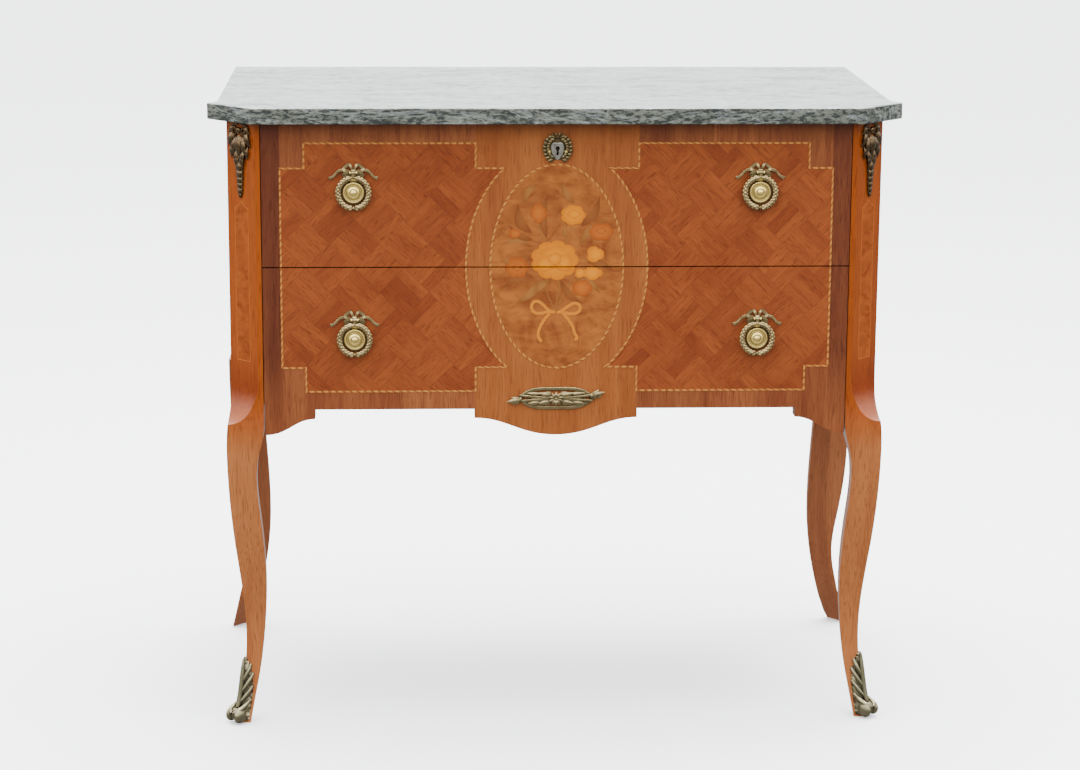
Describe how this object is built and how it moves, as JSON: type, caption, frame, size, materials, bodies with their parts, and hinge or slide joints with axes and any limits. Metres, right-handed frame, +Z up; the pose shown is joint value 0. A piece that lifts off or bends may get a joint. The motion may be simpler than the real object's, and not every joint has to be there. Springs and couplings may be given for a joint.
{
  "type": "commode chest",
  "caption": "Veneered commode chest with a canted-corner marble top, cabriole legs, brass mounts and sliding drawers with hinged wreath pulls.",
  "frame": {"origin": "on the floor, under the middle of the marble top", "axes": "+Z up, the drawer fronts face -Y, +X to the right of someone facing the drawers"},
  "size_m": [0.83, 0.436, 0.755],
  "materials": {
    "marble": "polished top, sawn and weathered edge",
    "front_veneer": "satin varnish over parquetry and marquetry veneer",
    "leg_wood": "satin varnish",
    "side_veneer": "satin varnish",
    "case_wood": "planed softwood, unfinished",
    "drawer_wood": "planed hardwood, unfinished",
    "thin_board": "sanded plywood, unfinished",
    "brass": "aged, dull",
    "steel": "dull"
  },
  "bodies": {
    "case": {"back_panel": "thin_board", "bottom_front_rail": "case_wood", "bottom_rear_rail": "case_wood", "corner_mount_left": "brass", "corner_mount_nails": "brass", "corner_mount_right": "brass", "front_leg_left": "leg_wood", "front_leg_right": "leg_wood", "glue_blocks": "case_wood", "kicker_left": "case_wood", "kicker_right": "case_wood", "lower_runner_left": "case_wood", "lower_runner_right": "case_wood", "marble_top": "marble", "middle_front_rail": "case_wood", "middle_rear_rail": "case_wood", "rear_leg_left": "leg_wood", "rear_leg_right": "leg_wood", "runner_screws": "steel", "sabot_left": "brass", "sabot_right": "brass", "side_panel_left": "side_veneer", "side_panel_right": "side_veneer", "strike_plate": "steel", "top_front_rail": "case_wood", "top_rear_rail": "case_wood", "upper_runner_left": "case_wood", "upper_runner_right": "case_wood"},
    "upper_drawer": {"escutcheon": "brass", "escutcheon_nails": "brass", "lock_bolt": "steel", "lock_case": "steel", "lock_screws": "steel", "upper_drawer_back": "drawer_wood", "upper_drawer_bottom": "thin_board", "upper_drawer_front": "front_veneer", "upper_drawer_side_left": "drawer_wood", "upper_drawer_side_right": "drawer_wood", "upper_pull_nuts": "steel", "upper_pull_pins": "brass", "upper_pull_plate_left": "brass", "upper_pull_plate_right": "brass"},
    "lower_drawer": {"apron_mount": "brass", "apron_mount_nails": "brass", "lower_drawer_back": "drawer_wood", "lower_drawer_bottom": "thin_board", "lower_drawer_front": "front_veneer", "lower_drawer_side_left": "drawer_wood", "lower_drawer_side_right": "drawer_wood", "lower_pull_nuts": "steel", "lower_pull_pins": "brass", "lower_pull_plate_left": "brass", "lower_pull_plate_right": "brass"},
    "lower_left_ring": {"lower_pull_ring_left": "brass"},
    "lower_right_ring": {"lower_pull_ring_right": "brass"},
    "upper_left_ring": {"upper_pull_ring_left": "brass"},
    "upper_right_ring": {"upper_pull_ring_right": "brass"}
  },
  "joints": [
    {"name": "upper_drawer_slide", "type": "slide", "parent": "case", "child": "upper_drawer", "axis": [0, -1, 0], "range_m": [0, 0.27]},
    {"name": "lower_drawer_slide", "type": "slide", "parent": "case", "child": "lower_drawer", "axis": [0, -1, 0], "range_m": [0, 0.27]},
    {"name": "upper_left_ring_hinge", "type": "hinge", "parent": "upper_drawer", "child": "upper_left_ring", "pos_m": [-0.239, -0.1996, 0.67704], "axis": [-1, 0, 0], "range_deg": [0, 100]},
    {"name": "upper_right_ring_hinge", "type": "hinge", "parent": "upper_drawer", "child": "upper_right_ring", "pos_m": [0.239, -0.1996, 0.67704], "axis": [-1, 0, 0], "range_deg": [0, 100]},
    {"name": "lower_left_ring_hinge", "type": "hinge", "parent": "lower_drawer", "child": "lower_left_ring", "pos_m": [-0.239, -0.1996, 0.5016], "axis": [-1, 0, 0], "range_deg": [0, 100]},
    {"name": "lower_right_ring_hinge", "type": "hinge", "parent": "lower_drawer", "child": "lower_right_ring", "pos_m": [0.239, -0.1996, 0.5016], "axis": [-1, 0, 0], "range_deg": [0, 100]}
  ]
}
